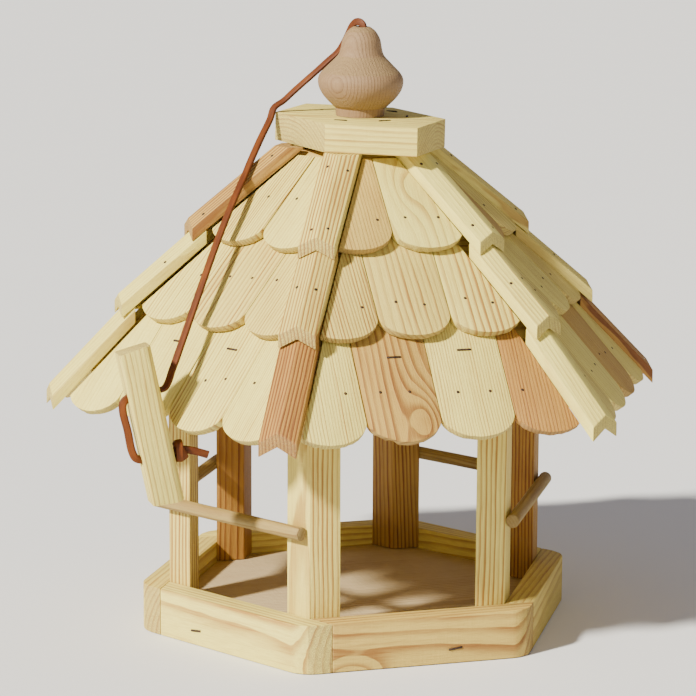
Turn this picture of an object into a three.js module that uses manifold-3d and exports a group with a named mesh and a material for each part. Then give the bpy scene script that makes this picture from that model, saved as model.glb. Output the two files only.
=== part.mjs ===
// Hexagonal wooden bird feeder with a shingled roof, hung from a leather lace and a toggle.
// Millimetres, +Z up. The origin is under the middle of the floor, on the surface it stands on.
// The six sides face 30, 90, 150 ... degrees and the six corners lie at 0, 60, 120 ... degrees.
import * as THREE from 'three';
import Module from 'manifold-3d';
import { mergeVertices } from 'three/addons/utils/BufferGeometryUtils.js';

// ---------- driving dimensions ----------
const GAP = 0.3; // between pieces that touch
const RIM_OUTER = 150; // middle of the feeder to the outer face of a rim board
const BOARD = 20; // thickness of the rim boards and posts
const RIM_HEIGHT = 36;
const RIM_CORNER_RADIUS = 22;
const FLOOR_THICKNESS = 19.5;
const PERCH_DIAMETER = 10;
const PERCH_HEIGHT = 99;
const ROOF_PLATE_BOTTOM = 192;
const ROOF_PLATE_THICKNESS = 12;
const ROOF_PLATE_APOTHEM = 180.5;
const DECK_THICKNESS = 9;
const DECK_TOP = { r: 50.5, z: 354 }; // a point of the deck's upper face, near the top
const DECK_TOP_CUT = 364.2;
const SHINGLE_THICKNESS = 6;
const SHINGLE_WIDTH = 54.2;
const SHINGLE_ROUND = 18; // length of a shingle's rounded lower end
const SHINGLE_HIP_GAP = 15.1; // from a hip to the cut edge of the shingles
// Section of a hip cap, square to its length: a shallow roof shape with upright edges and a
// groove below. Heights are measured down from the ridge.
const CAP_HALF_WIDTH = 13.6;
const CAP_EDGE_TOP = 5.2;
const CAP_EDGE_FOOT = 12.9;
const CAP_GROOVE = 7.4;
const CAP_LIFT = { left: 3 }; // this corner's caps sit higher than the others
const BLOCK_BOTTOM = 367.8;
const BLOCK_THICKNESS = 21.2;
const BLOCK_LEAN = THREE.MathUtils.degToRad(3);
const BORE_RADIUS = 4.6;
const FINIAL_HEIGHT = 66.6;
const LACE_RADIUS = 2.2;
const LACE_SIDES = 8;
const HANGING_LACE_STEPS = 56;
const TOGGLE_LACE_STEPS = 24;
const UNDER_KNOT = { radius: 6.5, at: [0, 2, 359.4] };
const TOGGLE_LENGTH = 115;
const TOGGLE_WIDTH = 23.5;
const TOGGLE_DEPTH = 20;
const TOGGLE_HOLE_RADIUS = 3.6;
const TOGGLE_HOLE_OFFSET = 22.85; // each hole's height above or below the middle
const TOGGLE_CENTRE = new THREE.Vector3(-189, -118, 182.6);
const TOGGLE_LEAN = THREE.MathUtils.degToRad(12);
const END_KNOT = { radius: 5.6, at: [TOGGLE_WIDTH / 2 + 6, 0, -23] }; // in the toggle's own frame

// Upper face of each tier of shingles, in the vertical plane through the middle of a side:
// r is the distance from the axis, top to tip.
const TIERS = {
  upper: { count: 2, top: { r: 52.5, z: 361.4 }, tip: { r: 117, z: 301.5 } },
  middle: { count: 3, top: { r: 96, z: 311.3 }, tip: { r: 163.5, z: 246.2 } },
  lower: { count: 4, top: { r: 146, z: 254.2 }, tip: { r: 210, z: 180.5 } },
};
// Ridge of each tier's hip caps, in the vertical plane through a corner, top to end.
const CAPS = {
  upper: { top: { r: 48, z: 379.1 }, end: { r: 133.5, z: 312 } },
  middle: { top: { r: 122.5, z: 310.1 }, end: { r: 187.5, z: 256.5 } },
  lower: { top: { r: 177, z: 254.2 }, end: { r: 240, z: 191.2 } },
};
const SIDES = {
  right_back: 30,
  back: 90,
  left_back: 150,
  left_front: 210,
  front: 270,
  right_front: 330,
};
const CORNERS = {
  right: 0,
  back_right: 60,
  back_left: 120,
  left: 180,
  front_left: 240,
  front_right: 300,
};
// The joints of a side's shingles lie this far from the side's middle, to the right from outside.
const JOINT_SHIFT = {
  front: { upper: -6, middle: -4, lower: 1 },
  left_front: { upper: 4, middle: 5, lower: 4 },
};
// Ends of each perch, measured along its side from the middle, to the right from outside.
const PERCHES = {
  left_front: { from: -84, to: 72 },
  right_front: { from: -76, to: 76 },
  right_back: { from: -64, to: 76 },
  left_back: { from: -76, to: 64 },
};

const PINE = { color: 0xe6d9a4, roughness: 0.75 };
const RED_PINE = { color: 0xc08a55, roughness: 0.75 };
const BEECH = { color: 0xcfa985, roughness: 0.6 };
const LEATHER = { color: 0x9a5230, roughness: 0.65 };

const COS30 = Math.cos(Math.PI / 6);
const SIN30 = 0.5;
const UP = new THREE.Vector3(0, 0, 1);
const wasm = await Module();
wasm.setup();

// ---------- helpers ----------
function direction(degrees) {
  const a = THREE.MathUtils.degToRad(degrees);
  return new THREE.Vector3(Math.cos(a), Math.sin(a), 0);
}

function named(name, geometry, finish) {
  const mesh = new THREE.Mesh(geometry, new THREE.MeshStandardMaterial({ ...finish, metalness: 0 }));
  mesh.name = name;
  return mesh;
}

function outline(points) {
  return new THREE.Shape(points.map(([x, y]) => new THREE.Vector2(x, y)));
}

function prism(shape, depth, curveSegments = 6) {
  return new THREE.ExtrudeGeometry(shape, { depth, bevelEnabled: false, curveSegments });
}

function toSolid(geometry) {
  const plain = geometry.clone();
  plain.deleteAttribute('normal');
  plain.deleteAttribute('uv');
  const merged = mergeVertices(plain, 1e-4);
  return new wasm.Manifold(
    new wasm.Mesh({
      numProp: 3,
      vertProperties: Float32Array.from(merged.attributes.position.array),
      triVerts: Uint32Array.from(merged.index.array),
    })
  );
}

function fromSolid(solid) {
  const mesh = solid.getMesh();
  const geometry = new THREE.BufferGeometry();
  geometry.setAttribute('position', new THREE.BufferAttribute(Float32Array.from(mesh.vertProperties), 3));
  geometry.setIndex(new THREE.BufferAttribute(Uint32Array.from(mesh.triVerts), 1));
  return geometry;
}

// A frame whose Z axis runs along a sloping line of the roof and whose Y axis points out of it.
// X is level and Z runs from the line's upper point to its lower point.
function slopeFrame(degrees, high, low) {
  const outward = direction(degrees);
  const start = outward.clone().multiplyScalar(high.r).addScaledVector(UP, high.z);
  const end = outward.clone().multiplyScalar(low.r).addScaledVector(UP, low.z);
  const down = end.clone().sub(start).normalize();
  const level = direction(degrees + 90);
  const out = down.clone().cross(level).normalize();
  const frame = new THREE.Matrix4().makeBasis(level, out, down);
  return frame.setPosition(start);
}

// ---------- base ----------
function floorPanel() {
  const radius = (RIM_OUTER - BOARD - GAP) / COS30;
  const corners = Object.values(CORNERS).map((a) => direction(a).multiplyScalar(radius));
  return prism(outline(corners.map((p) => [p.x, p.y])), FLOOR_THICKNESS);
}

// Boards run round the floor like a pinwheel: the right end of each, seen from outside, laps over
// the next board's left end, and the left end butts against the inner face of the one before.
function rimBoard(degrees) {
  const inner = RIM_OUTER - BOARD;
  const buttX = (n) => (n * SIN30 - inner + GAP) / COS30;
  const lapX = (n) => (RIM_OUTER - n * SIN30) / COS30;
  const cornerCut = RIM_CORNER_RADIUS * Math.tan(Math.PI / 6);
  const corner = new THREE.Vector2(lapX(RIM_OUTER), -RIM_OUTER);
  const endDirection = new THREE.Vector2(lapX(inner), -inner).sub(corner).normalize();
  const arcEnd = corner.clone().addScaledVector(endDirection, cornerCut);
  const shape = new THREE.Shape();
  shape.moveTo(buttX(RIM_OUTER), -RIM_OUTER);
  shape.lineTo(corner.x - cornerCut, -RIM_OUTER);
  shape.absarc(
    corner.x - cornerCut, -RIM_OUTER + RIM_CORNER_RADIUS, RIM_CORNER_RADIUS, -Math.PI / 2, -Math.PI / 6
  );
  shape.lineTo(arcEnd.x, arcEnd.y);
  shape.lineTo(lapX(inner), -inner);
  shape.lineTo(buttX(inner), -inner);
  const geometry = prism(shape, RIM_HEIGHT);
  geometry.rotateZ(THREE.MathUtils.degToRad(degrees + 90));
  return geometry;
}

// A post has a rhombus section whose two outer faces lie against the rim boards' inner faces.
function post(degrees) {
  const outer = RIM_OUTER - BOARD - GAP;
  const inner = outer - BOARD;
  const middle = (outer + inner) / 2 / COS30;
  const half = (outer - inner) / 2 / SIN30;
  const foot = FLOOR_THICKNESS + GAP;
  const section = outline([
    [outer / COS30, 0],
    [middle, half],
    [inner / COS30, 0],
    [middle, -half],
  ]);
  const geometry = prism(section, ROOF_PLATE_BOTTOM - GAP - foot);
  geometry.translate(0, 0, foot);
  geometry.rotateZ(THREE.MathUtils.degToRad(degrees));
  return geometry;
}

function perch(side) {
  const { from, to } = PERCHES[side];
  const geometry = new THREE.CylinderGeometry(PERCH_DIAMETER / 2, PERCH_DIAMETER / 2, to - from, 24);
  geometry.rotateZ(Math.PI / 2);
  geometry.translate((from + to) / 2, -(RIM_OUTER - BOARD + PERCH_DIAMETER / 2), PERCH_HEIGHT);
  geometry.rotateZ(THREE.MathUtils.degToRad(SIDES[side] + 90));
  return geometry;
}

// ---------- roof ----------
function roofPlate() {
  const radius = ROOF_PLATE_APOTHEM / COS30;
  const corners = Object.values(CORNERS).map((a) => direction(a).multiplyScalar(radius));
  const geometry = prism(outline(corners.map((p) => [p.x, p.y])), ROOF_PLATE_THICKNESS);
  geometry.translate(0, 0, ROOF_PLATE_BOTTOM);
  return geometry;
}

// Six mitred boards joined into one open pyramid, standing on the roof plate.
function roofDeck() {
  const foot = { r: ROOF_PLATE_APOTHEM, z: ROOF_PLATE_BOTTOM + ROOF_PLATE_THICKNESS + GAP };
  const slope = (DECK_TOP.z - foot.z) / (foot.r - DECK_TOP.r);
  const drop = DECK_THICKNESS * Math.hypot(1, slope);
  const outerR = (z) => foot.r - (z - foot.z) / slope;
  const innerR = (z) => outerR(z + drop);
  const profile = [
    [innerR(DECK_TOP_CUT), DECK_TOP_CUT],
    [innerR(foot.z), foot.z],
    [outerR(foot.z), foot.z],
    [outerR(DECK_TOP_CUT), DECK_TOP_CUT],
    [innerR(DECK_TOP_CUT), DECK_TOP_CUT],
  ].map(([r, z]) => new THREE.Vector2(r / COS30, z));
  const geometry = new THREE.LatheGeometry(profile, 6);
  geometry.rotateX(Math.PI / 2);
  geometry.rotateZ(Math.PI / 2);
  return geometry;
}

// The shingles of one tier on one side, side by side, cut off along the hip caps at both ends.
function shingleRow(side, tier) {
  const { count, top, tip } = TIERS[tier];
  const length = Math.hypot(tip.r - top.r, top.z - tip.z);
  const run = (tip.r - top.r) / length;
  const half = SHINGLE_WIDTH / 2;
  const straight = length - SHINGLE_ROUND;
  const shift = (JOINT_SHIFT[side] || {})[tier] || 0;
  const left = shift - count * half;
  const row = new THREE.Shape();
  row.moveTo(left + count * SHINGLE_WIDTH, 0);
  row.lineTo(left, 0);
  for (let i = 0; i < count; i++) {
    const centre = left + (2 * i + 1) * half;
    row.lineTo(centre - half, straight);
    row.absellipse(centre, straight, half, SHINGLE_ROUND, Math.PI, 0, true);
  }
  const hipX = (s) => (top.r + s * run) * Math.tan(Math.PI / 6) - SHINGLE_HIP_GAP / COS30;
  const wedge = outline([
    [-hipX(0), 0],
    [hipX(0), 0],
    [hipX(length + 1), length + 1],
    [-hipX(length + 1), length + 1],
  ]);
  const plank = toSolid(prism(row, SHINGLE_THICKNESS, 8));
  const cut = toSolid(prism(wedge, SHINGLE_THICKNESS));
  const geometry = fromSolid(plank.intersect(cut));
  geometry.rotateX(Math.PI / 2);
  geometry.applyMatrix4(slopeFrame(SIDES[side], top, tip));
  return geometry;
}

// A moulding laid along a hip, both ends cut plumb. The top tier is planed off below the block.
function hipCap(corner, tier) {
  const lift = CAP_LIFT[corner] || 0;
  const [top, end] = [CAPS[tier].top, CAPS[tier].end].map(({ r, z }) => ({ r, z: z + lift }));
  const slope = (top.z - end.z) / (end.r - top.r);
  const section = outline([
    [0, 0],
    [-CAP_HALF_WIDTH, -CAP_EDGE_TOP],
    [-CAP_HALF_WIDTH, -CAP_EDGE_FOOT],
    [0, -CAP_GROOVE],
    [CAP_HALF_WIDTH, -CAP_EDGE_FOOT],
    [CAP_HALF_WIDTH, -CAP_EDGE_TOP],
  ]);
  const length = Math.hypot(end.r - top.r, top.z - end.z);
  const geometry = prism(section, length);
  geometry.applyMatrix4(new THREE.Matrix4().makeShear(0, 0, 0, -slope, 0, 0));
  geometry.applyMatrix4(slopeFrame(CORNERS[corner], top, end));
  if (tier !== 'upper') return geometry;
  const blockSide = new THREE.BoxGeometry(200, 200, 60);
  blockSide.translate(0, 0, 30 - GAP);
  blockSide.rotateX(BLOCK_LEAN);
  blockSide.translate(0, 0, BLOCK_BOTTOM);
  return fromSolid(toSolid(geometry).subtract(toSolid(blockSide)));
}

// ---------- block and finial ----------
function topBlock() {
  const half = [
    [-39.9, -43.3],
    [21, -76.6],
    [58.6, -28.8],
  ];
  const shape = outline([...half, ...half.map(([x, y]) => [-x, -y])]);
  const bore = new THREE.Path();
  bore.absarc(0, 0, BORE_RADIUS, 0, 2 * Math.PI, true);
  shape.holes.push(bore);
  return prism(shape, BLOCK_THICKNESS, 10);
}

// Turned shape: a straight collar, a wide belly and a narrower rounded head, bored through.
function finial() {
  const belly = new THREE.SplineCurve(
    [
      [20, 6.6],
      [27.7, 14.4],
      [31.9, 22.2],
      [31.5, 30],
      [24.6, 37.8],
      [17.6, 45],
      [15.6, 50.5],
      [14.2, 57.3],
      [10.8, 63.2],
      [6.6, FINIAL_HEIGHT],
    ].map(([r, z]) => new THREE.Vector2(r, z))
  );
  const profile = [
    new THREE.Vector2(BORE_RADIUS, 0),
    new THREE.Vector2(18.8, 0),
    new THREE.Vector2(18.8, 6.2),
    ...belly.getPoints(27),
    new THREE.Vector2(BORE_RADIUS, FINIAL_HEIGHT),
    new THREE.Vector2(BORE_RADIUS, 0),
  ];
  const geometry = new THREE.LatheGeometry(profile, 32);
  geometry.rotateX(Math.PI / 2);
  return geometry;
}

// ---------- lace and toggle ----------
function laceTube(points, steps) {
  const section = outline(
    Array.from({ length: LACE_SIDES }, (_, i) => {
      const a = (2 * Math.PI * (i + 0.5)) / LACE_SIDES;
      return [LACE_RADIUS * Math.cos(a), LACE_RADIUS * Math.sin(a)];
    })
  );
  const route = new THREE.CatmullRomCurve3(points.map(([x, y, z]) => new THREE.Vector3(x, y, z)));
  return new THREE.ExtrudeGeometry(section, { steps, extrudePath: route, bevelEnabled: false });
}

function knot({ radius, at }) {
  const geometry = new THREE.SphereGeometry(radius, 12, 8);
  geometry.translate(...at);
  return geometry;
}

function joined(...pieces) {
  return fromSolid(pieces.map(toSolid).reduce((all, one) => all.add(one)));
}

// The lace: a knot under the block, up through block and finial, down behind the finial, over
// the block's left corner and down to the mouth of the toggle's upper hole.
const HANGING_LACE = [
  [0, 0.6, 358],
  [0, -0.8, 385],
  [0.2, -2.1, 410],
  [0.9, -3.4, 430],
  [1.5, -4.5, 446],
  [1.5, -4.6, 453.4],
  [1, -3.8, 457.2],
  [-0.6, -1.2, 459.2],
  [-2.8, 2.8, 458.8],
  [-4.8, 7.2, 455.2],
  [-6.4, 11.2, 449.4],
  [-8.8, 14.6, 442.6],
  [-12.2, 17.5, 436.1],
  [-19.2, 20, 429.3],
  [-26.7, 22.5, 422.1],
  [-35.1, 25.5, 414.2],
  [-43.7, 27.5, 406.4],
  [-51.8, 28.4, 399],
  [-59.6, 27.3, 393.9],
  [-64.4, 21.6, 385.6],
  [-73.6, 11.3, 373.6],
  [-83.4, -0.4, 360.4],
  [-91.6, -10.6, 348.6],
  [-105.4, -29, 330.6],
  [-121.4, -49, 306.6],
  [-138, -70.6, 279],
  [-153.4, -89.6, 251.6],
  [-166, -105, 229],
  [-171.8, -111.6, 218.6],
  [-175.4, -115.8, 211.8],
  [-178.4, -117.7, 208.5],
  [-181.6, -118, 207.5],
];
// The rest of the lace, in the toggle's own frame: through the upper hole, down the left side,
// back through the lower hole, a knot and a free tail.
const TOGGLE_LACE = [
  [11.4, 0, 22.85],
  [0, 0, 22.85],
  [-11, 0, 22.85],
  [-15, 0, 20.6],
  [-16.6, 0, 15],
  [-16.4, 0, 0],
  [-16.6, 0, -15],
  [-15, 0, -20.6],
  [-11, 0, -22.85],
  [0, 0, -22.85],
  [11.4, 0, -22.85],
  [18, 0, -23],
  [26, -0.6, -26],
  [36, -1.6, -31.5],
];

function toggleBar() {
  const x = TOGGLE_WIDTH / 2;
  const y = TOGGLE_DEPTH / 2;
  const edge = 1.5; // radius of three of the long edges
  const worn = 6; // radius of the front right one
  const shape = new THREE.Shape();
  shape.absarc(-x + edge, -y + edge, edge, Math.PI, 1.5 * Math.PI);
  shape.absarc(x - worn, -y + worn, worn, 1.5 * Math.PI, 2 * Math.PI);
  shape.absarc(x - edge, y - edge, edge, 0, 0.5 * Math.PI);
  shape.absarc(-x + edge, y - edge, edge, 0.5 * Math.PI, Math.PI);
  const bar = prism(shape, TOGGLE_LENGTH, 5);
  bar.translate(0, 0, -TOGGLE_LENGTH / 2);
  let solid = toSolid(bar);
  for (const side of [-1, 1]) {
    const drill = new THREE.CylinderGeometry(
      TOGGLE_HOLE_RADIUS, TOGGLE_HOLE_RADIUS, TOGGLE_WIDTH + 2, 20
    );
    drill.rotateZ(Math.PI / 2);
    drill.translate(0, 0, side * TOGGLE_HOLE_OFFSET);
    solid = solid.subtract(toSolid(drill));
  }
  return fromSolid(solid);
}

// ---------- assembly ----------
const feeder = new THREE.Group();
feeder.add(named('floor_panel', floorPanel(), PINE));
for (const [side, degrees] of Object.entries(SIDES)) {
  feeder.add(named(`rim_board_${side}`, rimBoard(degrees), PINE));
}
for (const [corner, degrees] of Object.entries(CORNERS)) {
  feeder.add(named(`post_${corner}`, post(degrees), PINE));
}
for (const side of Object.keys(PERCHES)) {
  feeder.add(named(`perch_${side}`, perch(side), PINE));
}
feeder.add(named('roof_plate', roofPlate(), RED_PINE));
feeder.add(named('roof_deck', roofDeck(), RED_PINE));
for (const tier of Object.keys(TIERS)) {
  for (const side of Object.keys(SIDES)) {
    feeder.add(named(`shingle_row_${tier}_${side}`, shingleRow(side, tier), PINE));
  }
}
for (const tier of Object.keys(CAPS)) {
  for (const corner of Object.keys(CORNERS)) {
    feeder.add(named(`hip_cap_${tier}_${corner}`, hipCap(corner, tier), PINE));
  }
}

const crown = new THREE.Group();
crown.position.z = BLOCK_BOTTOM;
crown.rotation.x = BLOCK_LEAN;
const finialMesh = named('finial', finial(), BEECH);
finialMesh.position.z = BLOCK_THICKNESS + GAP;
crown.add(named('top_block', topBlock(), PINE), finialMesh);
feeder.add(crown);

const hangingLace = joined(laceTube(HANGING_LACE, HANGING_LACE_STEPS), knot(UNDER_KNOT));
feeder.add(named('hanging_lace', hangingLace, LEATHER));

const toggle = new THREE.Group();
toggle.position.copy(TOGGLE_CENTRE);
toggle.rotation.y = -TOGGLE_LEAN;
const toggleLace = joined(laceTube(TOGGLE_LACE, TOGGLE_LACE_STEPS), knot(END_KNOT));
toggle.add(named('toggle_bar', toggleBar(), PINE), named('toggle_lace', toggleLace, LEATHER));
feeder.add(toggle);

export default feeder;
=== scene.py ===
# Looks of the hexagonal bird feeder: shingled roof, posts, rim, perches, lace and toggle.
# Metres, in the CAD model's frame. Shapes and places come from the CAD nodes wherever one exists.
import bmesh
import bpy
import math
import random
from mathutils import Matrix, Vector, noise


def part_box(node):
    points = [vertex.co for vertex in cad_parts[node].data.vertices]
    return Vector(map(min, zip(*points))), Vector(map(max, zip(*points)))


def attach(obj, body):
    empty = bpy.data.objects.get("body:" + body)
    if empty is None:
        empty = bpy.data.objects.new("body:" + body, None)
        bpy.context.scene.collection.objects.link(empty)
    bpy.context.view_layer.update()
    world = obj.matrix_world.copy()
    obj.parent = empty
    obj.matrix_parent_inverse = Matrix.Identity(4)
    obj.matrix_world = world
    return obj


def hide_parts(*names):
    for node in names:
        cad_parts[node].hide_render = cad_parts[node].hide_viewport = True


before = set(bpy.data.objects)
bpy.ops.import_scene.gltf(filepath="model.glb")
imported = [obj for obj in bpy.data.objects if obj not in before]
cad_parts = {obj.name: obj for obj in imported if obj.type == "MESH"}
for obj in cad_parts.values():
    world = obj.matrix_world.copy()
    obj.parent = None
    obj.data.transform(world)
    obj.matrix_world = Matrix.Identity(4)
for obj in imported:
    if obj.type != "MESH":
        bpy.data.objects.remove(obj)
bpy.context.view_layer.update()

MM = 0.001
SIDES = {"right_back": 30, "back": 90, "left_back": 150, "left_front": 210, "front": 270, "right_front": 330}
CORNERS = {"right": 0, "back_right": 60, "back_left": 120, "left": 180, "front_left": 240, "front_right": 300}
UP = Vector((0, 0, 1))


def direction(degrees):
    a = math.radians(degrees)
    return Vector((math.cos(a), math.sin(a), 0))


# ---------- camera ----------
CAMERA_AZIMUTH, CAMERA_ELEVATION, CAMERA_ROLL = (math.radians(a) for a in (-16.522, 9.681, 0.245))
CAMERA_TARGET_HEIGHT, CAMERA_DISTANCE = 0.23094, 1.93683
CAMERA_RIGHT, CAMERA_UP = -0.00799, -0.02061
LENS, SENSOR = 130.384, 36  # millimetres


def place_camera():
    azimuth, elevation, roll = CAMERA_AZIMUTH, CAMERA_ELEVATION, CAMERA_ROLL
    back = Vector((
        math.sin(azimuth) * math.cos(elevation),
        -math.cos(azimuth) * math.cos(elevation),
        math.sin(elevation),
    ))
    right = Vector((math.cos(azimuth), math.sin(azimuth), 0))
    up = back.cross(right)
    place = UP * CAMERA_TARGET_HEIGHT + back * CAMERA_DISTANCE + right * CAMERA_RIGHT + up * CAMERA_UP
    right, up = right * math.cos(roll) + up * math.sin(roll), up * math.cos(roll) - right * math.sin(roll)
    data = bpy.data.cameras.new("camera")
    data.lens = LENS
    data.sensor_width = SENSOR
    camera = bpy.data.objects.new("camera", data)
    bpy.context.collection.objects.link(camera)
    basis = Matrix((right, up, back)).transposed().to_4x4()
    camera.matrix_world = Matrix.Translation(place) @ basis
    bpy.context.scene.camera = camera


# ---------- material nodes ----------
class Nodes:
    """Short calls for building one material's node tree. A value is a socket or a number."""

    def __init__(self, name):
        self.material = bpy.data.materials.new(name)
        self.material.use_nodes = True
        self.tree = self.material.node_tree
        self.shader = self.tree.nodes["Principled BSDF"]

    def put(self, socket, value):
        if isinstance(value, bpy.types.NodeSocket):
            self.tree.links.new(value, socket)
        else:
            socket.default_value = value

    def attribute(self, name, output="Vector"):
        node = self.tree.nodes.new("ShaderNodeAttribute")
        node.attribute_name = name
        return node.outputs[output]

    def math(self, operation, a, b=0.0, c=0.0, clamp=False):
        node = self.tree.nodes.new("ShaderNodeMath")
        node.operation = operation
        node.use_clamp = clamp
        for socket, value in zip(node.inputs, (a, b, c)):
            self.put(socket, value)
        return node.outputs[0]

    def vector(self, operation, a, b=(0, 0, 0), output="Vector"):
        node = self.tree.nodes.new("ShaderNodeVectorMath")
        node.operation = operation
        self.put(node.inputs[0], a)
        self.put(node.inputs["Scale" if operation == "SCALE" else 1], b)
        return node.outputs[output]

    def split(self, vector):
        node = self.tree.nodes.new("ShaderNodeSeparateXYZ")
        self.put(node.inputs[0], vector)
        return node.outputs

    def join(self, x, y, z):
        node = self.tree.nodes.new("ShaderNodeCombineXYZ")
        for socket, value in zip(node.inputs, (x, y, z)):
            self.put(socket, value)
        return node.outputs[0]

    def noise(self, vector, scale, detail=2.0, roughness=0.5, output="Fac"):
        """Noise with a feature size of 1 / scale along each axis of vector; scale is three numbers."""
        node = self.tree.nodes.new("ShaderNodeTexNoise")
        self.put(node.inputs["Vector"], self.vector("MULTIPLY", vector, scale))
        node.inputs["Scale"].default_value = 1
        node.inputs["Detail"].default_value = detail
        node.inputs["Roughness"].default_value = roughness
        return node.outputs[output]

    def white(self, value):
        node = self.tree.nodes.new("ShaderNodeTexWhiteNoise")
        node.noise_dimensions = "1D"
        self.put(node.inputs["W"], value)
        return node.outputs["Value"]

    def smooth(self, value, low, high, out_low=0.0, out_high=1.0):
        node = self.tree.nodes.new("ShaderNodeMapRange")
        node.interpolation_type = "SMOOTHSTEP"
        for socket, number in zip(node.inputs, (value, low, high, out_low, out_high)):
            self.put(socket, number)
        return node.outputs[0]

    def mix(self, factor, a, b, blend="MIX"):
        node = self.tree.nodes.new("ShaderNodeMix")
        node.data_type = "RGBA"
        node.blend_type = blend
        self.put(node.inputs[0], factor)
        for socket, value in zip(node.inputs[6:8], (a, b)):
            self.put(socket, (*value, 1) if isinstance(value, tuple) else value)
        return node.outputs[2]

    def bump(self, height, distance, strength=1.0, normal=None):
        node = self.tree.nodes.new("ShaderNodeBump")
        node.inputs["Distance"].default_value = distance
        node.inputs["Strength"].default_value = strength
        self.put(node.inputs["Height"], height)
        if normal is not None:
            self.put(node.inputs["Normal"], normal)
        return node.outputs[0]

    def finish(self, color, roughness, normal=None):
        self.put(self.shader.inputs["Base Color"], color)
        self.put(self.shader.inputs["Roughness"], roughness)
        if normal is not None:
            self.put(self.shader.inputs["Normal"], normal)
        return self.material


def wood(name, pale, pale_line, warm, warm_line):
    """Solid wood cut from a log: grain is a point of the log in millimetres, X along the trunk and
    the pith on the X axis. tone holds warmth, strength of the rings and their spacing."""
    n = Nodes(name)
    p = n.attribute("grain")
    warmth, contrast, spacing = n.split(n.attribute("tone"))
    knot = n.attribute("knot")
    end = n.attribute("end", "Fac")
    # the log is never quite straight
    half = (0.5, 0.5, 0.5)
    slow = n.vector("SUBTRACT", n.noise(p, (1 / 320, 1 / 70, 1 / 70), 1, output="Color"), half)
    quick = n.vector("SUBTRACT", n.noise(p, (1 / 45, 1 / 9, 1 / 9), 2, output="Color"), half)
    q = n.vector("ADD", p, n.vector("SCALE", slow, 12.0))
    q = n.vector("ADD", q, n.vector("SCALE", quick, 1.6))
    from_knot = n.vector("MULTIPLY", n.vector("SUBTRACT", p, knot), (0.5, 1, 1))
    around_knot = n.vector("LENGTH", from_knot, output="Value")
    reach = n.math("POWER", n.math("DIVIDE", around_knot, 13.0), 2.0)
    swell = n.math("EXPONENT", n.math("MULTIPLY", reach, -1.0))
    parts = n.split(q)
    radius = n.vector("LENGTH", n.join(0.0, parts[1], parts[2]), output="Value")
    radius = n.math("ADD", radius, n.math("MULTIPLY", swell, 17.0))
    phase = n.math("DIVIDE", radius, spacing)
    ring = n.math("FRACT", phase)
    number = n.math("FLOOR", phase)
    late = n.math(
        "MULTIPLY", n.smooth(ring, 0.35, 0.9), n.math("SUBTRACT", 1.0, n.smooth(ring, 0.93, 1.0))
    )
    late = n.math("MULTIPLY", late, n.math("MULTIPLY_ADD", n.white(number), 0.7, 0.5))
    streak = n.noise(p, (1 / 120, 1 / 2.2, 1 / 2.2), 3, 0.6)
    blotch = n.noise(p, (1 / 70, 1 / 22, 1 / 22), 2, 0.5)
    fibre = n.noise(p, (1 / 14, 2.0, 2.0), 3, 0.65)
    line = n.math("MULTIPLY", late, contrast)
    fine_line = n.math("MULTIPLY", n.smooth(streak, 0.5, 0.8), n.math("MULTIPLY", contrast, 0.45))
    line = n.math("ADD", line, fine_line)
    line = n.math("MULTIPLY", line, n.math("MULTIPLY_ADD", n.smooth(blotch, 0.3, 0.7), 0.55, 1.0), clamp=True)
    reddish = n.math("ADD", warmth, n.math("MULTIPLY", n.smooth(blotch, 0.45, 0.8), 0.14), clamp=True)
    early_colour = n.mix(reddish, pale, warm)
    late_colour = n.mix(reddish, pale_line, warm_line)
    colour = n.mix(line, early_colour, late_colour)
    colour = n.mix(n.smooth(fibre, 0.35, 0.72, 0.0, 0.26), colour, (0.42, 0.27, 0.12), "MULTIPLY")
    heart = n.smooth(around_knot, 1.5, 5.5, 0.7, 0.0)
    colour = n.mix(heart, colour, (0.2, 0.075, 0.02))
    # ends cut across the grain are darker, stippled and rougher: end grain is darker in itself, and this
    # darker colour also carries painted shade of shadowed ends, such as the shingles' lower edges
    stipple = n.noise(p, (0.9, 1.1, 1.1), 3, 0.7)
    sawn_and_shaded = n.mix(n.smooth(stipple, 0.35, 0.7, 0.15, 0.75), colour, (0.36, 0.245, 0.1))
    colour = n.mix(n.math("MULTIPLY", end, 0.9), colour, sawn_and_shaded)
    height = n.math("ADD", n.math("MULTIPLY", late, 0.5), n.math("MULTIPLY", fibre, 0.9))
    height = n.math("ADD", height, n.math("MULTIPLY", n.math("MULTIPLY", stipple, end), 3.0))
    saw_marks = n.noise(p, (0.55, 0.03, 0.03), 1)
    height = n.math("ADD", height, n.math("MULTIPLY", saw_marks, 0.5))
    normal = n.bump(height, 0.0004, 0.9)
    roughness = n.math("ADD", n.math("MULTIPLY_ADD", fibre, 0.16, 0.55), n.math("MULTIPLY", end, 0.12))
    n.shader.inputs["Specular IOR Level"].default_value = 0.35
    return n.finish(colour, roughness, normal)


def leather():
    """lace holds the distance along in millimetres and the place across, from -1 to 1."""
    n = Nodes("leather")
    along, across, flat = n.split(n.attribute("lace"))
    p = n.join(along, n.math("MULTIPLY", across, 2.8), flat)
    wear = n.noise(p, (0.05, 0.35, 0.3), 3, 0.6)
    grain = n.noise(p, (1.6, 1.8, 1.5), 3, 0.6)
    colour = n.mix(n.smooth(wear, 0.3, 0.72), (0.085, 0.018, 0.001), (0.16, 0.04, 0.002))
    edge = n.smooth(n.math("ABSOLUTE", across), 0.7, 1.0, 0.0, 0.6)
    colour = n.mix(edge, colour, (0.06, 0.011, 0.003))
    colour = n.mix(n.smooth(grain, 0.4, 0.75, 0.0, 0.35), colour, (0.075, 0.015, 0.004))
    roughness = n.math("MULTIPLY_ADD", wear, -0.2, 0.66)
    n.shader.inputs["Specular IOR Level"].default_value = 0.25
    return n.finish(colour, roughness, n.bump(grain, 0.0003, 0.6))


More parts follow.
